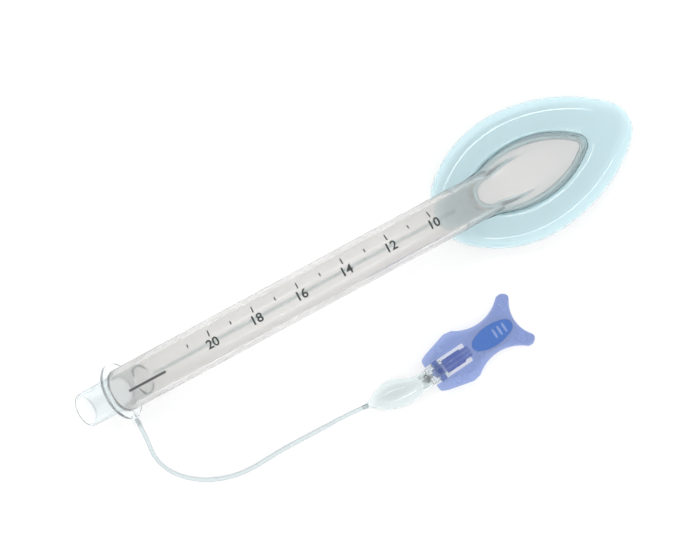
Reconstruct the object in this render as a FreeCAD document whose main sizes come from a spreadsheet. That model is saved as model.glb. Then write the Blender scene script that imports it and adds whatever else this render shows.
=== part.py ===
import FreeCAD, Part
import Sketcher
import math
import os

# A laryngeal mask airway lying on a table, its outer curve up. X runs along the airway
# from the breathing connector to the tip of the mask, Z is up, and the table is at zero.

doc = FreeCAD.newDocument("laryngeal_mask_airway")
sheet = doc.addObject("Spreadsheet::Sheet", "sizes")

# Millimetres and degrees.
SIZES = (
    # Breathing connector, a tapered male cone on a thin flange.
    ("tube_start_x", -110.7),
    ("rise_angle", 28),
    ("cone_radius", 7.56),
    ("cone_taper", 0.0125),
    ("cone_length", 19.0),
    ("cone_bore", 6.0),
    ("mouth_round", 0.5),
    ("shoulder_round", 1.6),
    ("flange_radius", 12.6),
    ("flange_thick", 1.5),
    ("flange_round", 0.45),
    ("spigot_length", 12.0),
    # Clearance between pieces that are pressed or glued into each other.
    ("seat_gap", 0.05),
    # Inflation port on the flange's rim, and the air gallery behind it.
    ("port_root", 2.1),
    ("port_tip", 1.35),
    ("port_start", 11.2),
    ("port_reach", 16.2),
    ("port_socket", 3.2),
    ("duct_radius", 0.45),
    ("gallery_depth", 0.95),
    # Arched airway tube.
    ("tube_radius", 9.5),
    ("tube_bore", 7.2),
    ("bend_radius", 186.6),
    ("fall_angle", 26),
    # Cuff filling tube, moulded into the inner side of the tube's wall.
    ("fill_radius", 0.85),
    ("fill_bore", 0.45),
    ("fill_depth", 8.35),
    ("fill_back_angle", 24.0),
    ("fill_front_angle", 21.6),
    ("fill_bend", 7.0),
    ("fill_turn", 32),
    ("fill_tail", 4.0),
    # Dome over the bowl of the mask.
    ("dome_offset", 23.4),
    ("dome_back", 26.0),
    ("dome_front", 28.6),
    ("dome_half", 13.9),
    ("dome_back_round", 9.5),
    ("dome_front_round", 4.0),
    ("dome_wall", 1.7),
    ("dome_foot", 7.0),
    ("dome_shoulder", 12.6),
    ("crown_offset", 19.4),
    ("crown_back", 21.0),
    ("crown_front", 29.0),
    ("crown_half", 8.4),
    ("crown_back_round", 6.5),
    ("crown_front_round", 2.9),
    ("crown_rise", 7.0),
    ("crown_tilt", 13.5),
    ("cap_inset", 1.1),
    ("cap_rise", 0.6),
    # Inflatable cuff.
    ("cuff_offset", 21.1),
    ("cuff_back", 40.7),
    ("cuff_front", 52.4),
    ("cuff_half", 28.6),
    ("cuff_back_round", 21.0),
    ("cuff_front_round", 13.0),
    ("cuff_height", 16.0),
    ("cuff_flat", 0.15),
    ("bowl_back", 22.0),
    ("bowl_front", 25.6),
    ("bowl_half", 9.8),
    ("bowl_back_round", 6.0),
    ("bowl_front_round", 2.6),
    # Free inflation line and the pilot balloon at its end.
    ("line_radius", 0.95),
    ("balloon_x", -25.5),
    ("balloon_y", -54.75),
    ("balloon_yaw", -4.8),
    ("balloon_radius", 6.45),
    ("balloon_neck", 1.5),
    ("balloon_neck_length", 2.6),
    ("balloon_widest", 16.0),
    ("balloon_shoulder", 24.5),
    ("balloon_shoulder_radius", 4.45),
    ("balloon_wall", 0.5),
    ("balloon_lap", 3.2),
    # Check valve, on an axis of its own that dips to the table.
    ("valve_x", 7.3),
    ("valve_y", -56.7),
    ("valve_z", 5.5),
    ("valve_yaw", 5.4),
    ("valve_dip", 5.5),
    ("valve_radius", 3.8),
    ("valve_waist", 3.3),
    ("valve_split", 1.0),
    ("valve_collar", 2.1),
    ("valve_tail", 5.9),
    ("insert_radius", 3.1),
    ("chamber_radius", 2.5),
    ("lip_thick", 0.5),
    ("lip_hole", 1.0),
    ("waist_start", 1.9),
    ("lug_start", 3.9),
    ("socket_depth", 5.5),
    ("luer_mouth", 2.15),
    ("luer_taper", 0.03),
    ("seat_hole", 1.2),
    ("stem_radius", 0.8),
    ("stem_tip", 0.6),
    ("head_radius", 1.9),
    ("head_thick", 0.7),
    ("boss_radius", 0.7),
    ("boss_length", 0.5),
    ("seal_radius", 2.0),
    ("seal_thick", 0.8),
    ("lift", 1.5),
    ("coil_radius", 1.3),
    ("wire_radius", 0.15),
    # Vent tag that plugs into the valve and holds it open.
    ("luer_gap", 0.04),
    ("pin_radius", 0.7),
    ("pin_gap", 0.05),
    ("plug_gap", 0.3),
    ("post_gap", 0.5),
    ("post_radius", 3.1),
    ("post_end", 14.8),
    ("web_radius", 2.5),
    ("tag_thick", 2.0),
    ("tag_slot_end", 17.6),
    ("tag_slot_half", 4.4),
    ("tag_slot_round", 0.6),
    ("tag_arm_tip", -1.2),
    ("tag_arm_half", 7.6),
    ("tag_elbow_x", 2.1),
    ("tag_elbow_half", 9.0),
    ("tag_shoulder_x", 12.9),
    ("tag_shoulder_half", 11.8),
    ("tag_waist_start", 16.6),
    ("tag_waist_start_half", 11.2),
    ("tag_waist_curve", 18.5),
    ("tag_flare_x", 40.6),
    ("tag_flare_half", 12.5),
    ("tag_tip_run", 2.3),
    ("tag_tip_rise", 0.2),
    ("tag_end_x", 46.0),
    ("tag_end_half", 10.3),
    ("tag_end_curve", 14.3),
    ("tag_corner", 1.9),
    ("tag_edge", 0.35),
    ("collar_start", 1.7),
    ("collar_end", 4.2),
    ("collar_gap", 0.2),
    ("collar_lap", 0.4),
    ("pad_x", 29.7),
    ("pad_back", 9.8),
    ("pad_front", 10.6),
    ("pad_half", 4.9),
    ("pad_round", 3.4),
    ("pad_rise", 0.4),
    ("mark_radius", 1.5),
    ("mark_back_x", 7.7),
    ("mark_front_x", 40.4),
    ("mark_half", 7.7),
    ("mark_depth", 0.25),
)
for row, (alias, value) in enumerate(SIZES, start=1):
    sheet.set("A%d" % row, alias)
    sheet.set("B%d" % row, str(value))
    sheet.setAlias("B%d" % row, alias)
doc.recompute()

gauge = doc.addObject("Part::Vertex", "gauge")


def size(expression):
    gauge.setExpression("X", expression)
    gauge.recompute()
    return gauge.X.Value


# Points that several pieces share, as expressions: where the airway tube starts, the
# centre of its arch, its far end, and the axis of the mask.
TUBE_RUN = "(sizes.cone_length + sizes.flange_thick)"
TUBE_X = "sizes.tube_start_x"
MOUTH_X = "(%s - %s * cos(sizes.rise_angle))" % (TUBE_X, TUBE_RUN)
RIM_DROP = "sizes.mouth_round * (sin(sizes.rise_angle) + cos(sizes.rise_angle) - 1)"
MOUTH_Z = "(sizes.cone_radius * cos(sizes.rise_angle) - %s)" % RIM_DROP
TUBE_Z = "(%s + %s * sin(sizes.rise_angle))" % (MOUTH_Z, TUBE_RUN)
ARCH_X = "(%s + sizes.bend_radius * sin(sizes.rise_angle))" % TUBE_X
ARCH_Z = "(%s - sizes.bend_radius * cos(sizes.rise_angle))" % TUBE_Z
END_X = "(%s + sizes.bend_radius * sin(sizes.fall_angle))" % ARCH_X
END_Z = "(%s + sizes.bend_radius * cos(sizes.fall_angle))" % ARCH_Z
DOME_X = "(%s + sizes.dome_offset)" % END_X


def about(x, y, z, angle):
    return "rotation(vector(%d; %d; %d); %s)" % (x, y, z, angle)


def place(target, x, y, z, turn, name="Placement"):
    target.setExpression(name, "placement(vector(%s; %s; %s); %s)" % (x, y, z, turn))


LEVEL = about(0, 0, 1, "0")
CONE_TURN = about(0, 1, 0, "90 - sizes.rise_angle")
VALVE_TURN = about(0, 0, 1, "sizes.valve_yaw") + " * " + about(0, 1, 0, "sizes.valve_dip")
BALLOON_TURN = about(0, 0, 1, "sizes.balloon_yaw")


def on_cone(target):
    place(target, MOUTH_X, "0", MOUTH_Z, CONE_TURN)


def on_valve(target):
    place(target, "sizes.valve_x", "sizes.valve_y", "sizes.valve_z", VALVE_TURN)


def on_balloon(target):
    place(target, "sizes.balloon_x", "sizes.balloon_y", "sizes.balloon_radius", BALLOON_TURN)


def sketch_on(body, name, role):
    sketch = body.newObject("Sketcher::SketchObject", name)
    for feature in body.Origin.OriginFeatures:
        if feature.Role == role:
            sketch.AttachmentSupport = [(feature, "")]
    sketch.MapMode = "FlatFace"
    return sketch


def bind(sketch, kind, *args):
    # The last of args is the expression that sets the constraint.
    values = list(args[:-1]) + [size(args[-1])]
    index = sketch.addConstraint(Sketcher.Constraint(kind, *values))
    sketch.setExpression("Constraints[%d]" % index, args[-1])


def pin_point(sketch, edge, end, x, y):
    for kind, axis, expression in (("DistanceX", -2, x), ("DistanceY", -1, y)):
        if expression == "0":
            sketch.addConstraint(Sketcher.Constraint("PointOnObject", edge, end, axis))
        else:
            bind(sketch, kind, -1, 1, edge, end, expression)


def arc(x, y, radius, start, end):
    circle = Part.Circle(FreeCAD.Vector(x, y, 0), FreeCAD.Vector(0, 0, 1), radius)
    return Part.ArcOfCircle(circle, start, end)


def polygon(sketch, corners, hollows=()):
    # Straight sides between corners, except that a side listed in hollows with a radius
    # bends as an arc whose centre lies to the right of the way round.
    hollows = dict(hollows)
    count = len(corners)
    spots = [(size(x), size(y)) for x, y in corners]
    base = sketch.GeometryCount
    for i in range(count):
        (x1, y1), (x2, y2) = spots[i], spots[(i + 1) % count]
        if i in hollows:
            chord = math.hypot(x2 - x1, y2 - y1)
            bend = size(hollows[i])
            lift = math.sqrt(bend * bend - chord * chord / 4) / chord
            x, y = (x1 + x2) / 2 + (y2 - y1) * lift, (y1 + y2) / 2 - (x2 - x1) * lift
            side = arc(x, y, bend, math.atan2(y2 - y, x2 - x), math.atan2(y1 - y, x1 - x))
        else:
            side = Part.LineSegment(FreeCAD.Vector(x1, y1, 0), FreeCAD.Vector(x2, y2, 0))
        sketch.addGeometry(side, False)
    for i in range(count):
        after = (i + 1) % count
        first, last = 2 if after in hollows else 1, 1 if i in hollows else 2
        sketch.addConstraint(
            Sketcher.Constraint("Coincident", base + i, last, base + after, first)
        )
        pin_point(sketch, base + i, 2 if i in hollows else 1, *corners[i])
        if i in hollows:
            bind(sketch, "Radius", base + i, hollows[i])


def disc(sketch, x, y, radius):
    spot = FreeCAD.Vector(size(x), size(y), 0)
    index = sketch.addGeometry(Part.Circle(spot, FreeCAD.Vector(0, 0, 1), size(radius)), False)
    pin_point(sketch, index, 3, x, y)
    bind(sketch, "Radius", index, radius)


def egg(sketch, back, front, half, back_round, front_round, inset="0"):
    # A closed outline of six arcs, alike on both sides of the X axis and widest at the
    # origin: a round back end, two flanks a side, and a round front end.
    cut = size(inset)
    side = size(half) - cut
    ends = []
    for reach, end in ((back, back_round), (front, front_round)):
        run, end = size(reach) - cut, size(end) - cut
        turn = 2 * math.atan((side - end) / (run - end))
        ends.append((run - end, end, turn, end + (run - end) / math.sin(turn)))
    (back_run, back_end, back_turn, back_flank) = ends[0]
    (front_run, front_end, front_turn, front_flank) = ends[1]
    half_turn = math.pi / 2
    shape = (
        arc(front_run, 0, front_end, front_turn - half_turn, half_turn - front_turn),
        arc(0, side - front_flank, front_flank, half_turn - front_turn, half_turn),
        arc(0, side - back_flank, back_flank, half_turn, half_turn + back_turn),
        arc(-back_run, 0, back_end, half_turn + back_turn, 3 * half_turn - back_turn),
        arc(0, back_flank - side, back_flank, 3 * half_turn - back_turn, 3 * half_turn),
        arc(0, front_flank - side, front_flank, 3 * half_turn, 3 * half_turn + front_turn),
    )
    for edge in shape:
        sketch.addGeometry(edge, False)
    for i in range(6):
        sketch.addConstraint(Sketcher.Constraint("Tangent", i, 2, (i + 1) % 6, 1))
    for i in (1, 2, 4, 5):
        sketch.addConstraint(Sketcher.Constraint("PointOnObject", i, 3, -2))
    for i, reach, end in ((0, front, front_round), (3, back, back_round)):
        sketch.addConstraint(Sketcher.Constraint("PointOnObject", i, 3, -1))
        bind(sketch, "Radius", i, "%s - %s" % (end, inset))
        sign = "" if i == 0 else "-"
        bind(sketch, "DistanceX", -1, 1, i, 3, "%s(%s - %s)" % (sign, reach, end))
    bind(sketch, "DistanceY", -1, 1, 1, 2, "%s - %s" % (half, inset))
    bind(sketch, "DistanceY", -1, 1, 4, 2, "%s - %s" % (inset, half))


def turned(body, name, role, axis, corners, cut=False, hollows=()):
    sketch = sketch_on(body, name + "_profile", role)
    polygon(sketch, corners, hollows)
    kind = "PartDesign::Groove" if cut else "PartDesign::Revolution"
    feature = body.newObject(kind, name)
    feature.Profile = sketch
    feature.ReferenceAxis = (sketch, [axis])
    feature.Angle = 360
    doc.recompute()
    return feature


def padded(body, name, sketch, length, middle=False, cut=False, other_way=False):
    kind = "PartDesign::Pocket" if cut else "PartDesign::Pad"
    feature = body.newObject(kind, name)
    feature.Profile = sketch
    feature.setExpression("Length", length)
    feature.Midplane = middle
    feature.Reversed = other_way
    doc.recompute()
    return feature


def rounded(body, name, radius, wanted):
    # Rounds the edges for which wanted is true of the edge's middle point and its ends.
    base = body.Tip
    names = []
    for number, edge in enumerate(base.Shape.Edges, start=1):
        middle = edge.valueAt((edge.FirstParameter + edge.LastParameter) / 2)
        if wanted(edge, middle):
            names.append("Edge%d" % number)
    feature = body.newObject("PartDesign::Fillet", name)
    feature.Base = (base, names)
    feature.setExpression("Radius", radius)
    doc.recompute()
    return feature


def round_edge(edge, radius, height, axis):
    curve = edge.Curve
    if curve.TypeId != "Part::GeomCircle":
        return False
    return abs(curve.Radius - radius) < 0.01 and abs(getattr(curve.Center, axis) - height) < 0.01


def arch_rod(name, depth, radius, back, front):
    # A round rod along the arch, depth below the tube's axis, from the angle back
    # behind the top of the arch to the angle front past it.
    rod = doc.addObject("Part::Torus", name)
    rod.setExpression("Radius1", "sizes.bend_radius - " + depth)
    rod.setExpression("Radius2", radius)
    rod.setExpression("Angle3", "%s + %s" % (back, front))
    turn = about(1, 0, 0, "90") + " * " + about(0, 0, 1, "90 - (%s)" % front)
    place(rod, ARCH_X, "0", ARCH_Z, turn)
    return rod


def joined(name, pieces):
    union = doc.addObject("Part::MultiFuse", name)
    union.Shapes = pieces
    return union


def carved(name, base, tool):
    cut = doc.addObject("Part::Cut", name)
    cut.Base = base
    cut.Tool = tool
    return cut


# The breathing connector: one turned piece, bored right through, with a male cone
# outside, a thin flange against the tube's end and a spigot inside the tube.
connector = doc.addObject("PartDesign::Body", "connector")
FLANGE_TOP = "sizes.cone_length + sizes.flange_thick"
SHOULDER = "(sizes.cone_radius + sizes.cone_length * sizes.cone_taper)"
turned(connector, "connector_body", "XZ_Plane", "V_Axis", (
    ("sizes.cone_bore", "0"),
    ("sizes.cone_radius", "0"),
    (SHOULDER, "sizes.cone_length"),
    ("sizes.flange_radius", "sizes.cone_length"),
    ("sizes.flange_radius", FLANGE_TOP),
    ("sizes.tube_bore - sizes.seat_gap", FLANGE_TOP),
    ("sizes.tube_bore - sizes.seat_gap", FLANGE_TOP + " + sizes.spigot_length"),
    ("sizes.cone_bore", FLANGE_TOP + " + sizes.spigot_length"),
))
rounded(connector, "mouth_rounds", "sizes.mouth_round", lambda edge, middle: (
    round_edge(edge, size("sizes.cone_radius"), 0, "z")
    or round_edge(edge, size("sizes.cone_bore"), 0, "z")
))
rounded(connector, "shoulder_fillet", "sizes.shoulder_round", lambda edge, middle: (
    round_edge(edge, size(SHOULDER), size("sizes.cone_length"), "z")
))
rounded(connector, "flange_rounds", "sizes.flange_round", lambda edge, middle: (
    round_edge(edge, size("sizes.flange_radius"), size("sizes.cone_length"), "z")
    or round_edge(edge, size("sizes.flange_radius"), size(FLANGE_TOP), "z")
))
PORT_Z = "(sizes.cone_length + sizes.flange_thick / 2)"
port_form = doc.addObject("PartDesign::Body", "port_form")
turned(port_form, "port_boss", "XY_Plane", "V_Axis", (
    ("0", "-sizes.port_start"),
    ("sizes.port_root", "-sizes.port_start"),
    ("sizes.port_tip", "-sizes.port_reach"),
    ("0", "-sizes.port_reach"),
))
duct_form = doc.addObject("PartDesign::Body", "duct_form")
GALLERY = "(sizes.tube_radius + sizes.tube_bore) / 2"
turned(duct_form, "port_duct", "XY_Plane", "V_Axis", (
    ("0", "-(%s)" % GALLERY),
    ("sizes.duct_radius", "-(%s)" % GALLERY),
    ("sizes.duct_radius", "sizes.port_socket - sizes.port_reach"),
    ("sizes.line_radius + sizes.seat_gap", "sizes.port_socket - sizes.port_reach"),
    ("sizes.line_radius + sizes.seat_gap", "-sizes.port_reach - 1"),
    ("0", "-sizes.port_reach - 1"),
))
gallery_form = doc.addObject("PartDesign::Body", "gallery_form")
turned(gallery_form, "gallery_ring", "XZ_Plane", "V_Axis", (
    (GALLERY + " - sizes.duct_radius", FLANGE_TOP + " - sizes.gallery_depth"),
    (GALLERY + " + sizes.duct_radius", FLANGE_TOP + " - sizes.gallery_depth"),
    (GALLERY + " + sizes.duct_radius", FLANGE_TOP + " + 1"),
    (GALLERY + " - sizes.duct_radius", FLANGE_TOP + " + 1"),
))
PORT_X = "%s + %s * cos(sizes.rise_angle)" % (MOUTH_X, PORT_Z)
PORT_HEIGHT = "%s + %s * sin(sizes.rise_angle)" % (MOUTH_Z, PORT_Z)
on_cone(connector)
on_cone(gallery_form)
for form in (port_form, duct_form):
    place(form, PORT_X, "0", PORT_HEIGHT, CONE_TURN)
ported = joined("ported_connector", [connector, port_form])
ducts = joined("ducts", [duct_form, gallery_form])
connector_piece = carved("connector_piece", ported, ducts)


# The airway tube and the dome of the mask are one moulding. Its outer form is an arched
# rod that runs into the dome, and its inner form the lumen that opens into the bowl.
def dome(name, inset, foot, drop):
    body = doc.addObject("PartDesign::Body", name)
    levels = []
    for level, height in (("foot", foot), ("shoulder", "sizes.dome_shoulder - (%s)" % drop)):
        sketch = sketch_on(body, name + "_" + level, "XY_Plane")
        egg(sketch, "sizes.dome_back", "sizes.dome_front", "sizes.dome_half",
            "sizes.dome_back_round", "sizes.dome_front_round", inset)
        sketch.setExpression("AttachmentOffset.Base.z", height)
        levels.append(sketch)
    top = "%s + sizes.crown_rise - sizes.crown_offset * tan(sizes.crown_tilt) - (%s)"
    for level, cut, lift in (("crown", "0", "sizes.cap_rise"), ("cap", "sizes.cap_inset", "0")):
        sketch = sketch_on(body, name + "_" + level, "XY_Plane")
        egg(sketch, "sizes.crown_back", "sizes.crown_front", "sizes.crown_half",
            "sizes.crown_back_round", "sizes.crown_front_round", "(%s + %s)" % (inset, cut))
        place(sketch, "sizes.crown_offset - sizes.dome_offset", "0",
              top % (END_Z, drop) + " - " + lift,
              about(0, 1, 0, "sizes.crown_tilt"), "AttachmentOffset")
        levels.append(sketch)
    loft = body.newObject("PartDesign::AdditiveLoft", name + "_loft")
    loft.Profile = levels[0]
    loft.Sections = levels[1:]
    loft.Ruled = True
    doc.recompute()
    place(body, DOME_X, "0", "0", LEVEL)
    return body


outer_dome = dome("outer_dome", "0", "sizes.dome_foot", "0")
inner_dome = dome("inner_dome", "sizes.dome_wall", "-1", "sizes.dome_wall")
outer_arch = arch_rod("outer_arch", "0", "sizes.tube_radius", "sizes.rise_angle",
                      "(sizes.fall_angle + 5)")
inner_arch = arch_rod("inner_arch", "0", "sizes.tube_bore", "(sizes.rise_angle + 1)",
                      "(sizes.fall_angle + 4)")
spigot_seat = doc.addObject("Part::Cylinder", "spigot_seat")
spigot_seat.setExpression("Radius", "sizes.tube_bore")
spigot_seat.setExpression("Height", FLANGE_TOP + " + sizes.spigot_length + sizes.seat_gap")
on_cone(spigot_seat)
tube_form = joined("tube_form", [outer_arch, outer_dome])
lumen_form = joined("lumen_form", [inner_arch, inner_dome, spigot_seat])


# The filling tube lies in the inner side of the tube's wall and turns down into the cuff.
FILL = "sizes.fill_front_angle"
FILL_X = "(%s + (sizes.bend_radius - sizes.fill_depth) * sin(%s))" % (ARCH_X, FILL)
FILL_Z = "(%s + (sizes.bend_radius - sizes.fill_depth) * cos(%s))" % (ARCH_Z, FILL)
TAIL = "(sizes.fill_front_angle + sizes.fill_turn)"


def fill_rod(name, radius, back):
    main = arch_rod(name + "_main", "sizes.fill_depth", radius, back, FILL)
    turn = doc.addObject("Part::Torus", name + "_turn")
    turn.setExpression("Radius1", "sizes.fill_bend")
    turn.setExpression("Radius2", radius)
    turn.setExpression("Angle3", "sizes.fill_turn")
    way = about(1, 0, 0, "90") + " * " + about(0, 0, 1, "90 - " + TAIL)
    turn_x = "%s - sizes.fill_bend * sin(%s)" % (FILL_X, FILL)
    turn_z = "%s - sizes.fill_bend * cos(%s)" % (FILL_Z, FILL)
    place(turn, turn_x, "0", turn_z, way)
    tail = doc.addObject("Part::Cylinder", name + "_tail")
    tail.setExpression("Radius", radius)
    tail.setExpression("Height", "sizes.fill_tail")
    tail_x = "%s + sizes.fill_bend * sin(%s)" % (turn_x, TAIL)
    tail_z = "%s + sizes.fill_bend * cos(%s)" % (turn_z, TAIL)
    place(tail, tail_x, "0", tail_z, about(0, 1, 0, "90 + " + TAIL))
    return joined(name, [main, turn, tail])


fill_form = fill_rod("fill_form", "sizes.fill_radius", "sizes.fill_back_angle")
fill_hole = fill_rod("fill_hole", "sizes.fill_bore", "(sizes.fill_back_angle + 1)")
lead_form = arch_rod("lead_form", "sizes.fill_depth", "sizes.duct_radius",
                     "(sizes.rise_angle + 1)", "(1 - sizes.fill_back_angle)")
tube_hollows = joined("tube_hollows", [lumen_form, fill_form, lead_form])
airway_tube = carved("airway_tube", tube_form, tube_hollows)
filling_tube = carved("filling_tube", fill_form, fill_hole)


# The cuff: a closed ring with rounded flanks, which swells inward under the foot of the
# dome and whose back end takes the underside of the tube.
cuff_form = doc.addObject("PartDesign::Body", "cuff_form")
rim = sketch_on(cuff_form, "cuff_outline", "XY_Plane")
egg(rim, "sizes.cuff_back", "sizes.cuff_front", "sizes.cuff_half",
    "sizes.cuff_back_round", "sizes.cuff_front_round")
padded(cuff_form, "cuff_block", rim, "sizes.cuff_height")
bowl = sketch_on(cuff_form, "bowl_outline", "XY_Plane")
egg(bowl, "sizes.bowl_back", "sizes.bowl_front", "sizes.bowl_half",
    "sizes.bowl_back_round", "sizes.bowl_front_round")
bowl.setExpression("AttachmentOffset.Base.x", "sizes.dome_offset - sizes.cuff_offset")
padded(cuff_form, "bowl_pocket", bowl, "sizes.cuff_height", False, True, True)
CUFF_SIDE = "(sizes.cuff_half - sizes.bowl_half)"
CUFF_ROUND = "min(sizes.cuff_height; %s) / 2 - sizes.cuff_flat" % CUFF_SIDE
rounded(cuff_form, "cuff_flanks", CUFF_ROUND, lambda edge, middle: (
    min(abs(middle.z), abs(middle.z - size("sizes.cuff_height"))) < 0.01
))
place(cuff_form, "%s + sizes.cuff_offset" % END_X, "0", "0", LEVEL)
cuff_seat = joined("cuff_seat", [tube_form, fill_form])
cuff = carved("cuff", cuff_form, cuff_seat)


# The free inflation line, from its socket in the flange's port to the balloon's neck.
def line_path():
    port_x = size(PORT_X)
    port_z = size(PORT_HEIGHT)
    first = -size("sizes.port_reach - sizes.port_socket")
    floor = size("sizes.line_radius")
    neck_x, neck_y = size("sizes.balloon_x"), size("sizes.balloon_y")
    neck_z = size("sizes.balloon_radius")
    yaw = math.radians(size("sizes.balloon_yaw"))
    run = size("sizes.balloon_neck_length")
    end_x, end_y = neck_x + run * math.cos(yaw), neck_y + run * math.sin(yaw)
    route = [
        (port_x, first, port_z),
        (port_x, first - 9.0, port_z),
        (port_x - 1.6, first - 19.5, port_z - 5.2),
        (port_x + 2.4, first - 29.5, 3.2),
        (port_x + 13.4, first - 38.4, floor + 0.1),
        (port_x + 28.4, first - 42.6, floor + 0.05),
        (port_x + 47.0, first - 41.2, floor + 0.05),
        (neck_x - 19.5, neck_y + 0.3, floor + 0.15),
        (neck_x - 8.0, neck_y + 8.0 * math.sin(-yaw), neck_z),
        (end_x, end_y, neck_z),
    ]
    return [FreeCAD.Vector(*spot) for spot in route]


def rounded_wire(route):
    edges, here, radii = [], route[0], []
    for before, corner, after in zip(route, route[1:], route[2:]):
        back, ahead = before - corner, after - corner
        reach = 0.45 * min(back.Length, ahead.Length)
        turn = math.pi - back.getAngle(ahead)
        radii.append(reach / math.tan(turn / 2))
        back.normalize()
        ahead.normalize()
        start, end = corner + back * reach, corner + ahead * reach
        inward = back + ahead
        inward.normalize()
        middle = corner + inward * (radii[-1] / math.cos(turn / 2) - radii[-1])
        edges.append(Part.LineSegment(here, start).toShape())
        edges.append(Part.Arc(start, middle, end).toShape())
        here = end
    edges.append(Part.LineSegment(here, route[-1]).toShape())
    print("line: length %.1f, radii %s" % (
        sum(edge.Length for edge in edges), [round(radius, 1) for radius in radii]))
    return Part.Wire(edges)


line = doc.addObject("Part::Feature", "inflation_line")
path = rounded_wire(line_path())
aim = path.Edges[0].tangentAt(path.Edges[0].FirstParameter)
section = Part.Circle(path.Edges[0].valueAt(path.Edges[0].FirstParameter), aim,
                      size("sizes.line_radius")).toShape()
line.Shape = path.makePipeShell([Part.Wire([section])], True, False)
print("line: volume %.1f, section times length %.1f" % (
    line.Shape.Volume, math.pi * size("sizes.line_radius") ** 2 * path.Length))


# The pilot balloon: a closed film bag, round between a thin neck on the line and a wide
# neck that laps over the valve.
def swell(near, near_radius, far, far_radius):
    run, rise = "(%s - %s)" % (far, near), "(%s - %s)" % (far_radius, near_radius)
    return "(%s^2 + %s^2) / (2 * %s)" % (run, rise, rise)


balloon_form = doc.addObject("PartDesign::Body", "balloon_form")
turned(balloon_form, "balloon_bag", "XY_Plane", "H_Axis", (
    ("0", "0"),
    ("0", "sizes.balloon_neck - 0.2"),
    ("sizes.balloon_neck_length", "sizes.balloon_neck"),
    ("sizes.balloon_widest", "sizes.balloon_radius"),
    ("sizes.balloon_shoulder", "sizes.balloon_shoulder_radius"),
    ("sizes.balloon_shoulder + 2", "sizes.balloon_shoulder_radius - 1.6"),
    ("sizes.balloon_shoulder + 2", "0"),
), False, {
    2: swell("sizes.balloon_neck_length", "sizes.balloon_neck",
             "sizes.balloon_widest", "sizes.balloon_radius"),
    3: swell("sizes.balloon_shoulder", "sizes.balloon_shoulder_radius",
             "sizes.balloon_widest", "sizes.balloon_radius"),
})
on_balloon(balloon_form)
lap_form = doc.addObject("PartDesign::Body", "lap_form")
turned(lap_form, "balloon_lap", "XY_Plane", "H_Axis", (
    ("-sizes.valve_tail - sizes.balloon_lap", "0"),
    ("-sizes.valve_tail - sizes.balloon_lap", "sizes.insert_radius + sizes.balloon_wall"),
    ("-sizes.valve_collar", "sizes.insert_radius + sizes.balloon_wall"),
    ("-sizes.valve_collar", "0"),
))
seat_form = doc.addObject("PartDesign::Body", "seat_form")
turned(seat_form, "balloon_seat", "XY_Plane", "H_Axis", (
    ("-sizes.valve_tail", "0"),
    ("-sizes.valve_tail", "sizes.insert_radius"),
    ("1", "sizes.insert_radius"),
    ("1", "0"),
))
on_valve(lap_form)
on_valve(seat_form)
neck_form = doc.addObject("Part::Cylinder", "neck_form")
neck_form.setExpression("Radius", "sizes.line_radius + sizes.seat_gap")
neck_form.setExpression("Height", "sizes.balloon_neck_length")
place(neck_form, "sizes.balloon_x", "sizes.balloon_y", "sizes.balloon_radius",
      BALLOON_TURN + " * " + about(0, 1, 0, "90"))
bag_form = joined("bag_form", [balloon_form, lap_form])
bag_seats = joined("bag_seats", [seat_form, neck_form])
pilot_balloon = carved("pilot_balloon", bag_form, bag_seats)


# The check valve: a luer socket with a seat at its bottom, an insert behind it that the
# balloon laps over, and between them a plunger with a rubber seal and a spring, drawn as
# the plain sleeve that its coils fill. All are turned about the valve's axis, and the
# seat's face is at minus valve_split.
def valve_piece(name, corners, hollows=()):
    body = doc.addObject("PartDesign::Body", name)
    turned(body, name + "_turned", "XY_Plane", "H_Axis", corners, False, hollows)
    on_valve(body)
    return body


valve_socket = valve_piece("valve_socket", (
    ("-sizes.valve_split", "sizes.seat_hole"),
    ("0", "sizes.seat_hole"),
    ("0", "sizes.luer_mouth - sizes.socket_depth * sizes.luer_taper"),
    ("sizes.socket_depth", "sizes.luer_mouth"),
    ("sizes.socket_depth", "sizes.valve_radius"),
    ("sizes.lug_start", "sizes.valve_radius"),
    ("sizes.lug_start", "sizes.valve_waist"),
    ("sizes.waist_start", "sizes.valve_waist"),
    ("sizes.waist_start", "sizes.valve_radius"),
    ("-sizes.valve_split", "sizes.valve_radius"),
))
valve_insert = valve_piece("valve_insert", (
    ("-sizes.valve_tail", "sizes.lip_hole"),
    ("-sizes.valve_tail + sizes.lip_thick", "sizes.lip_hole"),
    ("-sizes.valve_tail + sizes.lip_thick", "sizes.chamber_radius"),
    ("-sizes.valve_split", "sizes.chamber_radius"),
    ("-sizes.valve_split", "sizes.valve_radius"),
    ("-sizes.valve_collar", "sizes.valve_radius"),
    ("-sizes.valve_collar", "sizes.insert_radius"),
    ("-sizes.valve_tail", "sizes.insert_radius"),
))
SEAL_FACE = "-sizes.valve_split - sizes.lift"
HEAD_FACE = SEAL_FACE + " - sizes.seal_thick"
HEAD_BACK = HEAD_FACE + " - sizes.head_thick"
valve_plunger = valve_piece("valve_plunger", (
    (HEAD_BACK + " - sizes.boss_length", "0"),
    (HEAD_BACK + " - sizes.boss_length", "sizes.boss_radius"),
    (HEAD_BACK, "sizes.boss_radius"),
    (HEAD_BACK, "sizes.head_radius"),
    (HEAD_FACE, "sizes.head_radius"),
    (HEAD_FACE, "sizes.stem_radius"),
    ("-sizes.stem_tip", "sizes.stem_radius"),
    ("-sizes.stem_tip", "0"),
))
valve_seal = valve_piece("valve_seal", (
    (HEAD_FACE, "sizes.stem_radius"),
    (SEAL_FACE, "sizes.stem_radius"),
    (SEAL_FACE, "sizes.seal_radius"),
    (HEAD_FACE, "sizes.seal_radius"),
))
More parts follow.
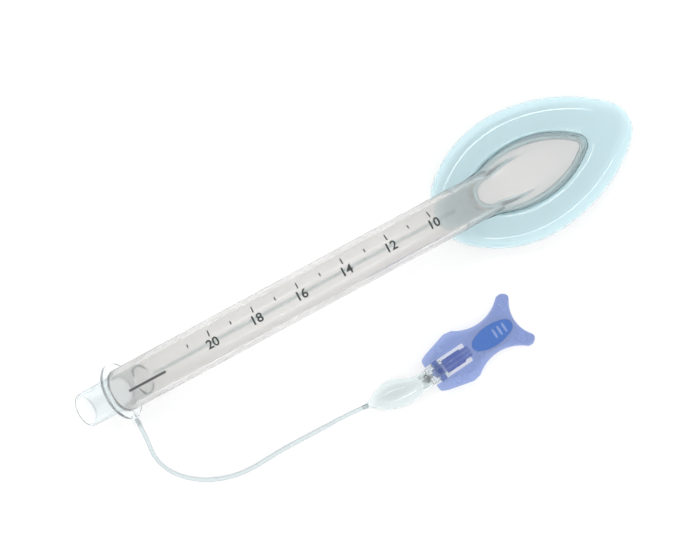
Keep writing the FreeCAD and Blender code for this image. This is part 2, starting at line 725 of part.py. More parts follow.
valve_spring = valve_piece("valve_spring", (
    ("-sizes.valve_tail + sizes.lip_thick", "sizes.coil_radius - sizes.wire_radius"),
    (HEAD_BACK, "sizes.coil_radius - sizes.wire_radius"),
    (HEAD_BACK, "sizes.coil_radius + sizes.wire_radius"),
    ("-sizes.valve_tail + sizes.lip_thick", "sizes.coil_radius + sizes.wire_radius"),
))


# The vent tag: one moulding, a flat grip with two arms beside a post. The post's tip is
# a male luer cone with a pin that holds the plunger down, and a collar joined to the arms
# rides on the valve.
tag = doc.addObject("PartDesign::Body", "vent_tag")
plate = sketch_on(tag, "tag_outline", "XY_Plane")
HALF = (
    ("sizes.tag_end_x", "sizes.tag_end_half"),
    ("sizes.tag_flare_x + sizes.tag_tip_run", "sizes.tag_flare_half + sizes.tag_tip_rise"),
    ("sizes.tag_flare_x", "sizes.tag_flare_half"),
    ("sizes.tag_waist_start", "sizes.tag_waist_start_half"),
    ("sizes.tag_shoulder_x", "sizes.tag_shoulder_half"),
    ("sizes.tag_elbow_x", "sizes.tag_elbow_half"),
    ("sizes.tag_arm_tip", "sizes.tag_arm_half"),
)
other_half = [(x, "-(%s)" % y) for x, y in reversed(HALF)]
polygon(plate, list(HALF) + other_half, {
    2: "sizes.tag_waist_curve",
    10: "sizes.tag_waist_curve",
    13: "sizes.tag_end_curve",
})
padded(tag, "tag_plate", plate, "sizes.tag_thick", True)
corner_spots = [(size(x), abs(size(y))) for x, y in HALF[:2] + HALF[4:]]
rounded(tag, "tag_corners", "sizes.tag_corner", lambda edge, middle: any(
    math.hypot(middle.x - x, abs(middle.y) - y) < 0.01 for x, y in corner_spots
))
gap = sketch_on(tag, "tag_gap", "XY_Plane")
polygon(gap, (
    ("sizes.tag_arm_tip - 1", "-sizes.tag_slot_half"),
    ("sizes.tag_slot_end", "-sizes.tag_slot_half"),
    ("sizes.tag_slot_end", "sizes.tag_slot_half"),
    ("sizes.tag_arm_tip - 1", "sizes.tag_slot_half"),
))
padded(tag, "tag_slot", gap, "sizes.tag_thick * 2", True, True)
rounded(tag, "slot_corners", "sizes.tag_slot_round", lambda edge, middle: (
    math.hypot(middle.x - size("sizes.tag_slot_end"),
               abs(middle.y) - size("sizes.tag_slot_half")) < 0.01
))
rounded(tag, "tag_rims", "sizes.tag_edge", lambda edge, middle: (
    abs(abs(middle.z) - size("sizes.tag_thick") / 2) < 0.01
))
grip = sketch_on(tag, "grip_outline", "XY_Plane")
egg(grip, "sizes.pad_back", "sizes.pad_front", "sizes.pad_half", "sizes.pad_round",
    "sizes.pad_round")
grip.setExpression("AttachmentOffset.Base.x", "sizes.pad_x")
padded(tag, "grip_pad", grip, "sizes.tag_thick / 2 + sizes.pad_rise")
rounded(tag, "grip_rim", "sizes.tag_edge / 2", lambda edge, middle: (
    abs(middle.z - size("sizes.tag_thick / 2 + sizes.pad_rise")) < 0.01
))
MALE = "sizes.luer_mouth - sizes.luer_gap - (sizes.socket_depth - (%s)) * sizes.luer_taper"
POST = "sizes.socket_depth + sizes.post_gap"
PIN_END = "sizes.pin_gap - sizes.stem_tip"
turned(tag, "tag_post", "XY_Plane", "H_Axis", (
    (PIN_END, "0"),
    (PIN_END, "sizes.pin_radius"),
    ("sizes.plug_gap", "sizes.pin_radius"),
    ("sizes.plug_gap", MALE % "sizes.plug_gap"),
    (POST, MALE % POST),
    (POST, "sizes.post_radius"),
    ("sizes.post_end", "sizes.post_radius"),
    ("sizes.post_end", "sizes.web_radius"),
    ("sizes.tag_slot_end + 1", "sizes.web_radius"),
    ("sizes.tag_slot_end + 1", "0"),
))
turned(tag, "tag_collar", "XY_Plane", "H_Axis", (
    ("sizes.collar_start", "sizes.valve_radius + sizes.collar_gap"),
    ("sizes.collar_end", "sizes.valve_radius + sizes.collar_gap"),
    ("sizes.collar_end", "sizes.tag_slot_half + sizes.collar_lap"),
    ("sizes.collar_start", "sizes.tag_slot_half + sizes.collar_lap"),
))
marks = sketch_on(tag, "pin_marks", "XY_Plane")
for x in ("sizes.mark_back_x", "sizes.mark_front_x"):
    for y in ("sizes.mark_half", "-sizes.mark_half"):
        disc(marks, x, y, "sizes.mark_radius")
marks.setExpression("AttachmentOffset.Base.z", "sizes.tag_thick / 2 - sizes.mark_depth")
padded(tag, "pin_dimples", marks, "sizes.tag_thick", False, True, True)
on_valve(tag)

doc.removeObject("gauge")
doc.recompute()
PIECES = (
    ("connector", connector_piece),
    ("airway_tube", airway_tube),
    ("cuff_filling_tube", filling_tube),
    ("cuff", cuff),
    ("inflation_line", line),
    ("pilot_balloon", pilot_balloon),
    ("valve_socket", valve_socket),
    ("valve_insert", valve_insert),
    ("valve_plunger", valve_plunger),
    ("valve_seal", valve_seal),
    ("valve_spring", valve_spring),
    ("vent_tag", tag),
)
used = {label: piece for label, piece in PIECES}
for item in doc.Objects:
    if item.Label in used and used[item.Label] is not item:
        item.Label = item.Label + "_form"
for label, piece in PIECES:
    piece.Label = label
for item in doc.Objects:
    if "Invalid" in item.State or "Error" in item.State:
        raise RuntimeError("%s failed: %s" % (item.Label, item.State))
os.makedirs("parts", exist_ok=True)
for label, piece in PIECES:
    shape = piece.Shape
    if shape.isNull() or not shape.isValid() or len(shape.Solids) != 1:
        raise RuntimeError("%s has no single valid solid" % label)
    shape.exportStep("parts/%s.step" % label)
    box = shape.BoundBox
    print("%-18s %9.2f mm3  x %.2f %.2f  y %.2f %.2f  z %.2f %.2f" % (
        label, shape.Volume, box.XMin, box.XMax, box.YMin, box.YMax, box.ZMin, box.ZMax))
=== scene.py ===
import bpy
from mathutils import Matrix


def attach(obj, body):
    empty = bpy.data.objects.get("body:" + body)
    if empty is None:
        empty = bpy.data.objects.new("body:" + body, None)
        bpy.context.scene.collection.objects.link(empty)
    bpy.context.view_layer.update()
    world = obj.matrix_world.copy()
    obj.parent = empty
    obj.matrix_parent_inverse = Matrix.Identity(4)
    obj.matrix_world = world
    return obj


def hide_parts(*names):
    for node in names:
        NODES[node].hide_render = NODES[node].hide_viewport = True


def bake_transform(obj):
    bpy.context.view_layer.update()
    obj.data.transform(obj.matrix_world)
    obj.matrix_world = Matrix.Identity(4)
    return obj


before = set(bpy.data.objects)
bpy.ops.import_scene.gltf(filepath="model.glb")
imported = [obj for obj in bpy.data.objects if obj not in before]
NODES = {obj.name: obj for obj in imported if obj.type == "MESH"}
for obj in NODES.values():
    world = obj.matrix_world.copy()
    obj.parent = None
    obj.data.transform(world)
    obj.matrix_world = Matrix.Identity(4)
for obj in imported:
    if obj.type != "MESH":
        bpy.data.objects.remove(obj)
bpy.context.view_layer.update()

import math

import bmesh
import bpy
from mathutils import Matrix, Vector
from mathutils.bvhtree import BVHTree

scene = bpy.context.scene


def linked(name, data):
    thing = bpy.data.objects.new(name, data)
    scene.collection.objects.link(thing)
    return thing


# Camera: straight down from 1.4 m, turned so that the airway climbs to the upper right.
VIEW_SPOT, VIEW_TURN = (-0.00363, -0.00276, 1.40), -28.4
SENSOR, LENS = 36, 169.4
camera = linked("camera", bpy.data.cameras.new("camera"))
camera.location = VIEW_SPOT
camera.rotation_euler = (0, 0, math.radians(VIEW_TURN))
camera.data.sensor_width = SENSOR
camera.data.lens = LENS
scene.camera = camera


# The free inflation line, from the port on the flange to the pilot balloon.
LINE_R = 0.00095
LINE_ROUTE = (
    (-0.11136, -0.0130, 0.01577),
    (-0.11136, -0.0220, 0.01577),
    (-0.11296, -0.0325, 0.01057),
    (-0.10896, -0.0425, 0.0032),
    (-0.09796, -0.0514, 0.00105),
    (-0.08296, -0.0556, 0.0010),
    (-0.06436, -0.0542, 0.0010),
    (-0.0450, -0.05445, 0.0011),
    (-0.0335, -0.05408, 0.00645),
    (-0.02291, -0.05497, 0.00645),
)


def line_curve(name, radius):
    # The points carry the radius, so the bevel's own depth is 1.
    data = bpy.data.curves.new(name, "CURVE")
    data.dimensions = "3D"
    spline = data.splines.new("NURBS")
    spline.points.add(len(LINE_ROUTE) - 1)
    for point, spot in zip(spline.points, LINE_ROUTE):
        point.co = (*spot, 1)
        point.radius = radius
    spline.order_u = 3
    spline.use_endpoint_u = True
    data.resolution_u = 12
    data.bevel_depth = 1.0
    data.bevel_resolution = 6
    data.use_fill_caps = True
    return linked(name, data)


line = line_curve("line_tube", LINE_R)
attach(line, "airway")
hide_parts("inflation_line")


# Materials.
def material(name):
    mat = bpy.data.materials.new(name)
    mat.use_nodes = True
    tree = mat.node_tree
    shader = tree.nodes["Principled BSDF"]
    return mat, tree, shader


def noise(tree, scale, detail=3.0):
    where = tree.nodes.new("ShaderNodeTexCoord")
    grain = tree.nodes.new("ShaderNodeTexNoise")
    grain.inputs["Scale"].default_value = scale
    grain.inputs["Detail"].default_value = detail
    tree.links.new(where.outputs["Object"], grain.inputs["Vector"])
    return grain


def ramp(tree, value, low, high, start=0.35, end=0.65):
    spread = tree.nodes.new("ShaderNodeMapRange")
    spread.inputs["From Min"].default_value = start
    spread.inputs["From Max"].default_value = end
    spread.inputs["To Min"].default_value = low
    spread.inputs["To Max"].default_value = high
    tree.links.new(value, spread.inputs["Value"])
    return spread.outputs["Result"]


def tinted(tree, grain, shader, first, second):
    blend = tree.nodes.new("ShaderNodeMix")
    blend.data_type = "RGBA"
    tree.links.new(grain.outputs["Fac"], blend.inputs["Factor"])
    blend.inputs["A"].default_value = (*first, 1)
    blend.inputs["B"].default_value = (*second, 1)
    tree.links.new(blend.outputs["Result"], shader.inputs["Base Color"])


def roughened(tree, grain, shader, rough):
    tree.links.new(ramp(tree, grain.outputs["Fac"], *rough), shader.inputs["Roughness"])


def bumped(tree, grain, shader, strength, distance):
    bump = tree.nodes.new("ShaderNodeBump")
    bump.inputs["Strength"].default_value = strength
    bump.inputs["Distance"].default_value = distance
    tree.links.new(grain.outputs["Fac"], bump.inputs["Height"])
    tree.links.new(bump.outputs["Normal"], shader.inputs["Normal"])


def clear(name, first, second, ior, rough, soak, density, wave, grain=160, cloud=0.0):
    # A clear plastic that soaks up a little of the light inside it. Cloud is its milky share.
    mat, tree, shader = material(name)
    shader.inputs["Transmission Weight"].default_value = 1.0 - cloud
    shader.inputs["IOR"].default_value = ior
    haze = noise(tree, 90)
    tinted(tree, haze, shader, first, second)
    roughened(tree, haze, shader, rough)
    bumped(tree, noise(tree, grain, 2), shader, wave, 0.0004)
    absorb = tree.nodes.new("ShaderNodeVolumeAbsorption")
    absorb.inputs["Color"].default_value = (*soak, 1)
    absorb.inputs["Density"].default_value = density
    output = tree.nodes["Material Output"]
    tree.links.new(absorb.outputs["Volume"], output.inputs["Volume"])
    return mat


def tinted_film(name, first, second, alpha, rough):
    # A coloured clear plastic that lets light straight through.
    mat, tree, shader = material(name)
    shader.inputs["Alpha"].default_value = alpha
    grain = noise(tree, 300)
    tinted(tree, grain, shader, first, second)
    roughened(tree, grain, shader, rough)
    bumped(tree, grain, shader, 0.04, 0.0002)
    return mat


def solid(name, first, second, rough, metal=0.0):
    mat, tree, shader = material(name)
    shader.inputs["Metallic"].default_value = metal
    grain = noise(tree, 900)
    tinted(tree, grain, shader, first, second)
    roughened(tree, grain, shader, rough)
    bumped(tree, grain, shader, 0.05, 0.0002)
    return mat


clear_hard = clear("clear_hard", (1.0, 1.0, 1.0), (0.985, 0.992, 0.996), 1.24, (0.16, 0.22),
                   (0.62, 0.84, 0.88), 60, 0.004, cloud=0.05)
clear_soft = clear("clear_soft", (0.836, 0.830, 0.820), (0.826, 0.820, 0.809), 1.30, (0.14, 0.20),
                   (0.85, 0.86, 0.84), 5, 0.004, cloud=0.12)
blue_film = clear("blue_film", (0.925, 0.985, 1.0), (0.915, 0.975, 0.993), 1.38, (0.04, 0.08),
                  (0.30, 0.80, 0.88), 240, 0.006, cloud=0.04)
pale_tube = clear("pale_tube", (0.69, 0.755, 0.77), (0.67, 0.74, 0.755), 1.33, (0.20, 0.30),
                  (0.6, 0.85, 0.9), 60, 0.01, cloud=0.8)
pale_film = clear("pale_film", (0.925, 0.957, 0.957), (0.91, 0.947, 0.947), 1.40, (0.05, 0.09),
                  (0.55, 0.80, 0.78), 100, 0.02, cloud=0.04)
blue_plastic = clear("blue_plastic", (0.56, 0.655, 0.85), (0.49, 0.59, 0.825), 1.40, (0.20, 0.30),
                     (0.33, 0.42, 0.75), 310, 0.25, 800)
blue_tube = tinted_film("blue_tube", (0.58, 0.96, 1.0), (0.54, 0.92, 0.98), 0.20, (0.3, 0.4))
pad_blue = tinted_film("pad_blue", (0.06, 0.165, 0.50), (0.045, 0.14, 0.46), 0.80, (0.3, 0.4))
rib_blue = tinted_film("rib_blue", (0.30, 0.42, 0.76), (0.26, 0.38, 0.73), 0.55, (0.3, 0.4))
ink = solid("ink", (0.012, 0.016, 0.016), (0.03, 0.035, 0.035), (0.4, 0.6))
black_ink = solid("black_ink", (0.07, 0.07, 0.075), (0.09, 0.09, 0.095), (0.3, 0.5))
grey_plastic = solid("grey_plastic", (0.5, 0.52, 0.54), (0.42, 0.44, 0.46), (0.3, 0.45))
black_rubber = solid("black_rubber", (0.09, 0.09, 0.09), (0.13, 0.13, 0.13), (0.5, 0.7))
spring_steel = solid("spring_steel", (0.7, 0.7, 0.72), (0.55, 0.55, 0.58), (0.2, 0.35), 1.0)


# Meshes. Lengths are millimetres until a mesh is made of them.
def metres(spot):
    return [c / 1000 for c in spot]


def mesh_object(name, bm, mat):
    data = bpy.data.meshes.new(name)
    bm.to_mesh(data)
    bm.free()
    piece = linked(name, data)
    data.materials.append(mat)
    return piece


def in_order(bm):
    # The same mesh with its vertices and faces in order of place. Blender's operators leave them
    # in an order that differs from run to run, and a shape fitted to the mesh would differ too.
    spots = sorted(bm.verts, key=lambda v: v.co[:])
    rank = {v: i for i, v in enumerate(spots)}
    faces = [[rank[v] for v in face.verts] for face in bm.faces]
    out = bmesh.new()
    fresh = [out.verts.new(v.co) for v in spots]
    for corners in sorted(faces, key=sorted):
        out.faces.new([fresh[i] for i in corners])
    bm.free()
    return out


def smooth_object(name, bm, mat, outward=True):
    # A bag with a lining keeps the way its faces look, with outward off.
    if outward:
        bmesh.ops.recalc_face_normals(bm, faces=bm.faces)
    for face in bm.faces:
        face.smooth = True
    return mesh_object(name, bm, mat)


def piece_from(name, bm, body, mat, replaced=(), outward=True):
    piece = smooth_object(name, bm, mat, outward)
    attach(piece, body)
    if replaced:
        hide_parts(*replaced)
    return piece


def grid(bm, rings):
    # Quads between closed rings of equally many points. Returns the rings' vertices.
    rows = [[bm.verts.new(metres(spot)) for spot in ring] for ring in rings]
    count = len(rows[0])
    for low, high in zip(rows, rows[1:]):
        for i in range(count):
            j = (i + 1) % count
            bm.faces.new((low[i], low[j], high[j], high[i]))
    return rows


def capped(bm, rings):
    rows = grid(bm, rings)
    bm.faces.new(rows[0])
    bm.faces.new(rows[-1])


def joined_ends(bm, outer, inner):
    # Closes the wall between two nested skins at both of their ends.
    count = len(outer[0])
    for end in (0, -1):
        for i in range(count):
            j = (i + 1) % count
            bm.faces.new((outer[end][i], outer[end][j], inner[end][j], inner[end][i]))


def softened(bm, factor):
    bmesh.ops.smooth_vert(bm, verts=bm.verts, factor=factor, use_axis_x=True, use_axis_y=True,
                          use_axis_z=True)


def egg(back, front, half, back_round, front_round, inset=0.0, count=128):
    # The outline of six arcs that the solids use, as points at even steps from its front tip.
    arc_steps = 60
    side = half - inset
    ends = []
    for reach, end in ((back, back_round), (front, front_round)):
        run, end = reach - inset, end - inset
        turn = 2 * math.atan((side - end) / (run - end))
        ends.append((run - end, end, turn, end + (run - end) / math.sin(turn)))
    (back_run, back_end, back_turn, back_flank), (front_run, front_end, front_turn, front_flank) = ends
    right = math.pi / 2
    arcs = (
        (front_run, 0, front_end, 0, right - front_turn),
        (0, side - front_flank, front_flank, right - front_turn, right),
        (0, side - back_flank, back_flank, right, right + back_turn),
        (-back_run, 0, back_end, right + back_turn, 2 * right),
    )
    dense = []
    for x, y, radius, start, end in arcs:
        for i in range(arc_steps):
            angle = start + (end - start) * i / arc_steps
            dense.append((x + radius * math.cos(angle), y + radius * math.sin(angle)))
    dense.append((-(back - inset), 0))
    steps = [0]
    for (x1, y1), (x2, y2) in zip(dense, dense[1:]):
        steps.append(steps[-1] + math.hypot(x2 - x1, y2 - y1))
    side_points, at = [], 0
    for i in range(count // 2 + 1):
        goal = steps[-1] * i / (count // 2)
        while at < len(steps) - 2 and steps[at + 1] < goal:
            at += 1
        part = (goal - steps[at]) / (steps[at + 1] - steps[at])
        (x1, y1), (x2, y2) = dense[at], dense[at + 1]
        side_points.append((x1 + (x2 - x1) * part, y1 + (y2 - y1) * part))
    other = [(x, -y) for x, y in reversed(side_points[1:-1])]
    return side_points + other


def egg_at(x, sizes, inset, count):
    return [(x + along, y) for along, y in egg(*sizes, inset, count)]


# The airway's arch, an arc of a circle. These sizes are the ones that part.py arrives at.
ARCH_X, ARCH_Z, BEND = -23.097, -148.635, 186.6
RISE, FALL = math.radians(28), math.radians(26)
TUBE_R, BORE_R = 9.5, 7.2


def arch_spot(angle, radius, turn, lift=0.0):
    # The spot at an angle along the arch and a turn round the tube's axis.
    out = BEND + lift + radius * math.cos(turn)
    return (ARCH_X + out * math.sin(angle), radius * math.sin(turn), ARCH_Z + out * math.cos(angle))


def about_arch(co):
    # A vertex's angle along the arch, and how far out of the arch and to the side it lies.
    x, y, z = (c * 1000 for c in co)
    return math.atan2(x - ARCH_X, z - ARCH_Z), math.hypot(x - ARCH_X, z - ARCH_Z) - BEND, y


def arch_ring(angle, radius, count):
    return [arch_spot(angle, radius, 2 * math.pi * i / count) for i in range(count)]


# The airway moulding: the arched tube and the mask's dome as one skin.
END_Z = 19.080
DOME_X, DOME_FOOT, DOME_CROWN = 82.103, (26, 28.6, 13.9, 9.5, 4.0), (21, 29, 8.4, 6.5, 2.9)
DOME_WALL_TOP, FOOT_Z, WALL = 12.6, 7.0, 1.7
CROWN_SET, CROWN_BACK, CROWN_LIFT, CROWN_TILT = 19.4, 23.4, 7.0, math.radians(13.5)
CROWN_RISE, CROWN_SINK = 1.7, 0.6
VOXEL, SOFTENING = 0.5, 24
CUT = math.radians(22.6)
OVERLAP_START, OVERLAP_RINGS = 19, 13
BACK_STEPS = 180
SEAT_RUN, FADE_RUN = 13, 17


def remeshed(bm):
    # The outer skin of overlapping closed forms, with its creases softened.
    data = bpy.data.meshes.new("form")
    bmesh.ops.recalc_face_normals(bm, faces=bm.faces)
    bm.to_mesh(data)
    bm.free()
    form = linked("form", data)
    skin = form.modifiers.new("skin", "REMESH")
    skin.mode = "VOXEL"
    skin.voxel_size = VOXEL / 1000
    depsgraph = bpy.context.evaluated_depsgraph_get()
    result = bpy.data.meshes.new_from_object(form.evaluated_get(depsgraph))
    bpy.data.objects.remove(form)
    out = bmesh.new()
    out.from_mesh(result)
    for _ in range(SOFTENING):
        softened(out, 0.5)
    return out


def moulding_skin(inset, radius, bottom):
    # The arch's last stretch and the dome as one skin, open at the foot and towards the arch.
    bm = bmesh.new()
    capped(bm, [arch_ring(math.radians(OVERLAP_START + i), radius, 48) for i in range(OVERLAP_RINGS)])
    foot = egg_at(DOME_X, DOME_FOOT, inset, 128)
    crown = egg(*DOME_CROWN, inset)
    middle = DOME_X + CROWN_SET - CROWN_BACK
    lean, lift = math.cos(CROWN_TILT), math.sin(CROWN_TILT)
    top = END_Z + CROWN_LIFT - CROWN_SET * math.tan(CROWN_TILT) - inset
    rings = [[(x, y, z) for x, y in foot] for z in (bottom, 4.0, 8.0, DOME_WALL_TOP - inset)]
    for share in (1.0, 0.9, 0.75, 0.55, 0.3):
        rise = CROWN_RISE * (1 - share ** 2) - CROWN_SINK
        rings.append([(middle + x * share * lean + rise * lift, y * share,
                       top - x * share * lift + rise * lean) for x, y in crown])
    capped(bm, rings)
    skin = remeshed(bm)
    cuts = (
        (Vector(metres((ARCH_X, 0, ARCH_Z))), Vector((math.cos(CUT), 0, -math.sin(CUT)))),
        (Vector(metres((0, 0, FOOT_Z))), Vector((0, 0, 1))),
    )
    for spot, way in cuts:
        bmesh.ops.bisect_plane(skin, geom=skin.verts[:] + skin.edges[:] + skin.faces[:],
                               plane_co=spot, plane_no=way, clear_inner=True)
    return skin


def rim_edges(bm, wanted):
    return [edge for edge in bm.edges if edge.is_boundary and all(wanted(v.co) for v in edge.verts)]


def at_foot(co):
    return co.z * 1000 < FOOT_Z + 0.2


def at_opening(co):
    return co.z * 1000 > FOOT_Z + 0.2


def at_connector(co):
    return co.x * 1000 < -90


def lift_at(angle):
    # The bore is straight where the spigot is pushed into it, and bends from there.
    run = (angle + RISE) * BEND
    if run < SEAT_RUN:
        return run * run / (2 * BEND)
    fade = max(0.0, 1 - (run - SEAT_RUN) / FADE_RUN)
    return SEAT_RUN * SEAT_RUN / (2 * BEND) * fade * fade * (3 - 2 * fade)


def run_back(bm, radius, seated):
    # Draws the skin's round opening back along the arch, ring by ring, to the connector. A
    # seated skin is the bore, which lift_at straightens for the spigot.
    edges = rim_edges(bm, at_opening)
    for v in {v for edge in edges for v in edge.verts}:
        _, out, side = about_arch(v.co)
        v.co = metres(arch_spot(CUT, radius, math.atan2(side, out)))
    start = -RISE + 0.0002
    before = 0.0
    for i in range(1, BACK_STEPS + 1):
        angle = CUT + (start - CUT) * i / BACK_STEPS
        lift = lift_at(angle) if seated else 0.0
        grown = bmesh.ops.extrude_edge_only(bm, edges=edges)["geom"]
        edges = [item for item in grown if isinstance(item, bmesh.types.BMEdge)]
        for v in (item for item in grown if isinstance(item, bmesh.types.BMVert)):
            _, out, side = about_arch(v.co)
            v.co = metres(arch_spot(angle, radius, math.atan2(side, out - before), lift))
        before = lift


def airway_moulding():
    outer = moulding_skin(0.0, TUBE_R, 1.0)
    run_back(outer, TUBE_R, False)
    inner = moulding_skin(WALL, BORE_R, -1.0)
    run_back(inner, BORE_R, True)
    bmesh.ops.reverse_faces(inner, faces=inner.faces)
    data = bpy.data.meshes.new("bore")
    inner.to_mesh(data)
    inner.free()
    outer.from_mesh(data)
    for wanted in (at_foot, at_connector):
        bmesh.ops.bridge_loops(outer, edges=rim_edges(outer, wanted))
    return piece_from("airway_moulding", in_order(outer), "airway", clear_soft,
                      ["airway_tube"])


moulding = airway_moulding()


# The filling tube: a thin blue tube inside the moulding's wall that turns down into the cuff.
FILL_R, FILL_BORE, FILL_DEPTH, FILL_BEND, FILL_TAIL = 0.85, 0.45, 8.35, 7.0, 4.0
FILL_START, FILL_END, FILL_DOWN = math.radians(-24), math.radians(21.6), math.radians(53.6)
FILL_STEPS, FILL_TURNS = 90, 12


def tube_along(spots, outer, inner, count=24):
    # A tube through spots in the plane of the arch, given with the way it runs at each.
    bm = bmesh.new()
    skins = []
    for radius in (outer, inner):
        rings = []
        for x, z, slope in spots:
            rings.append([(x - radius * math.cos(turn) * math.sin(slope), radius * math.sin(turn),
                           z + radius * math.cos(turn) * math.cos(slope))
                          for turn in (2 * math.pi * i / count for i in range(count))])
        skins.append(grid(bm, rings))
    joined_ends(bm, *skins)
    return bm


def fill_spots():
    radius = BEND - FILL_DEPTH
    spots = []
    for i in range(FILL_STEPS + 1):
        angle = FILL_START + (FILL_END - FILL_START) * i / FILL_STEPS
        spots.append((ARCH_X + radius * math.sin(angle), ARCH_Z + radius * math.cos(angle), -angle))
    x, z = spots[-1][0] - FILL_BEND * math.sin(FILL_END), spots[-1][1] - FILL_BEND * math.cos(FILL_END)
    for i in range(1, FILL_TURNS + 1):
        angle = FILL_END + (FILL_DOWN - FILL_END) * i / FILL_TURNS
        spots.append((x + FILL_BEND * math.sin(angle), z + FILL_BEND * math.cos(angle), -angle))
    x, z = spots[-1][:2]
    spots.append((x + FILL_TAIL * math.cos(FILL_DOWN), z - FILL_TAIL * math.sin(FILL_DOWN), -FILL_DOWN))
    return spots


piece_from("filling_tube", tube_along(fill_spots(), FILL_R, FILL_BORE), "airway", blue_tube,
           ["cuff_filling_tube"])


# The cuff: a bag of thin film, pressed in by the dome, the tube and the table. It is pushed off
# the moulding to CLEAR, and its lining can still touch the moulding lightly.
CUFF_X, CUFF_OUTSIDE, CUFF_INSIDE = 79.803, (40.7, 52.4, 28.6, 21, 13), (22, 25.6, 9.8, 6.0, 2.6)
CUFF_HIGH, LEDGE, FILM, CLEAR = 16.0, 6.6, 0.45, 0.35
CUFF_POWER = 2 / 2.3
SHOULDER_SLOPE, FOOT_ROOM, TUBE_ROOM, FLOOR_ROOM = 0.585, 0.2, 0.2, 0.02
PAST_END = 0.02
CUFF_AROUND, CUFF_SECTION, SECTION_STEPS = 288, 72, 240


def crossing(start, end, outline):
    # How far along the line from start to end it last crosses the closed outline.
    best = 0.0
    (x1, y1), (x2, y2) = start, end
    for (x3, y3), (x4, y4) in zip(outline, outline[1:] + outline[:1]):
        span = (x2 - x1) * (y4 - y3) - (y2 - y1) * (x4 - x3)
        if abs(span) < 1e-9:
            continue
        along = ((x3 - x1) * (y4 - y3) - (y3 - y1) * (x4 - x3)) / span
        across = ((x3 - x1) * (y2 - y1) - (y3 - y1) * (x2 - x1)) / span
        if 0 <= across <= 1 and along > best:
            best = along
    return best


def even(points, count):
    # The closed line through points, as count points at even steps.
    loop = points + points[:1]
    steps = [0.0]
    for (x1, y1), (x2, y2) in zip(loop, loop[1:]):
        steps.append(steps[-1] + math.hypot(x2 - x1, y2 - y1))
    out, at = [], 0
    for i in range(count):
        goal = steps[-1] * i / count
        while steps[at + 1] < goal:
            at += 1
        part = (goal - steps[at]) / max(steps[at + 1] - steps[at], 1e-9)
        (x1, y1), (x2, y2) = loop[at], loop[at + 1]
        out.append((x1 + (x2 - x1) * part, y1 + (y2 - y1) * part))
    return out


def bag_section(width, wall):
    # The bag's section from its inner side at 0 to its outer side at width. The dome's foot
    # presses the inner side down to the ledge, out to the wall and its sloping shoulder.
    half, high = width / 2, CUFF_HIGH / 2
    round_line = []
    for i in range(SECTION_STEPS):
        turn = math.pi + 2 * math.pi * i / SECTION_STEPS
        c, s = math.cos(turn), math.sin(turn)
        round_line.append((half + math.copysign(half * abs(c) ** CUFF_POWER, c),
                           high + math.copysign(high * abs(s) ** CUFF_POWER, s)))

    def under_dome(spot):
        return spot[1] > LEDGE and spot[0] < wall - max(0.0, spot[1] - DOME_WALL_TOP) * SHOULDER_SLOPE

    free = [not under_dome(spot) for spot in round_line]
    first = free.index(True)
    low = [spot for i, spot in enumerate(round_line[first:]) if free[first + i]]
    section = low + [(wall, DOME_WALL_TOP), (wall, LEDGE)]
    for _ in range(3):
        section = even(section, CUFF_SECTION * 2)
        section = [((a[0] + 2 * b[0] + c[0]) / 4, (a[1] + 2 * b[1] + c[1]) / 4)
                   for a, b, c in zip(section[-1:] + section[:-1], section, section[1:] + section[:1])]
    return even(section, CUFF_SECTION)


def cuff_rings():
    outside = egg_at(CUFF_X, CUFF_OUTSIDE, 0.15, CUFF_AROUND)
    inside = egg_at(DOME_X, CUFF_INSIDE, 0.0, CUFF_AROUND)
    foot = egg_at(DOME_X, DOME_FOOT, -FOOT_ROOM, CUFF_AROUND)
    rings = []
    for near, far in zip(inside, outside):
        width = math.hypot(far[0] - near[0], far[1] - near[1])
        wall = crossing(near, far, foot) * width
        way = ((far[0] - near[0]) / width, (far[1] - near[1]) / width)
        rings.append([(near[0] + way[0] * s, near[1] + way[1] * s, z + FLOOR_ROOM)
                      for s, z in bag_section(width, wall)])
    return rings + rings[:1]


def cuff_film():
    bm = bmesh.new()
    grid(bm, cuff_rings())
    bmesh.ops.remove_doubles(bm, verts=bm.verts, dist=1e-6)
    bmesh.ops.recalc_face_normals(bm, faces=bm.faces)
    tree = BVHTree.FromObject(moulding, bpy.context.evaluated_depsgraph_get())
    for _ in range(2):
        for v in bm.verts:
            angle, out, side = about_arch(v.co)
            if math.hypot(out, side) < TUBE_R + TUBE_ROOM and angle < FALL + PAST_END:
                v.co = metres(arch_spot(angle, TUBE_R + TUBE_ROOM, math.atan2(side, out)))
        softened(bm, 0.4)
    for _ in range(3):
        for v in bm.verts:
            spot, normal, _, reach = tree.find_nearest(v.co)
            if (v.co - spot).dot(normal) < 0 or reach < CLEAR / 1000:
                v.co = spot + normal * CLEAR / 1000
            v.co.z = max(v.co.z, FLOOR_ROOM / 1000)
    bm.normal_update()
    lining = {v: v.co - v.normal * FILM / 1000 for v in bm.verts}
    fresh = {v: bm.verts.new(spot) for v, spot in lining.items()}
    for face in list(bm.faces):
        bm.faces.new([fresh[v] for v in reversed(face.verts)])
    return bm


cuff = piece_from("cuff_film", cuff_film(), "airway", blue_film, ["cuff"], outward=False)


# The valve's frame: its middle, the way its axis runs, and what lies to its side and above it.
VALVE = Vector((7.3, -56.7, 5.5))
VALVE_WAY = Vector((math.cos(math.radians(5.5)) * math.cos(math.radians(5.4)),
                    math.cos(math.radians(5.5)) * math.sin(math.radians(5.4)),
                    -math.sin(math.radians(5.5))))
VALVE_SIDE = Vector((0, 0, 1)).cross(VALVE_WAY).normalized()
VALVE_UP = VALVE_WAY.cross(VALVE_SIDE)


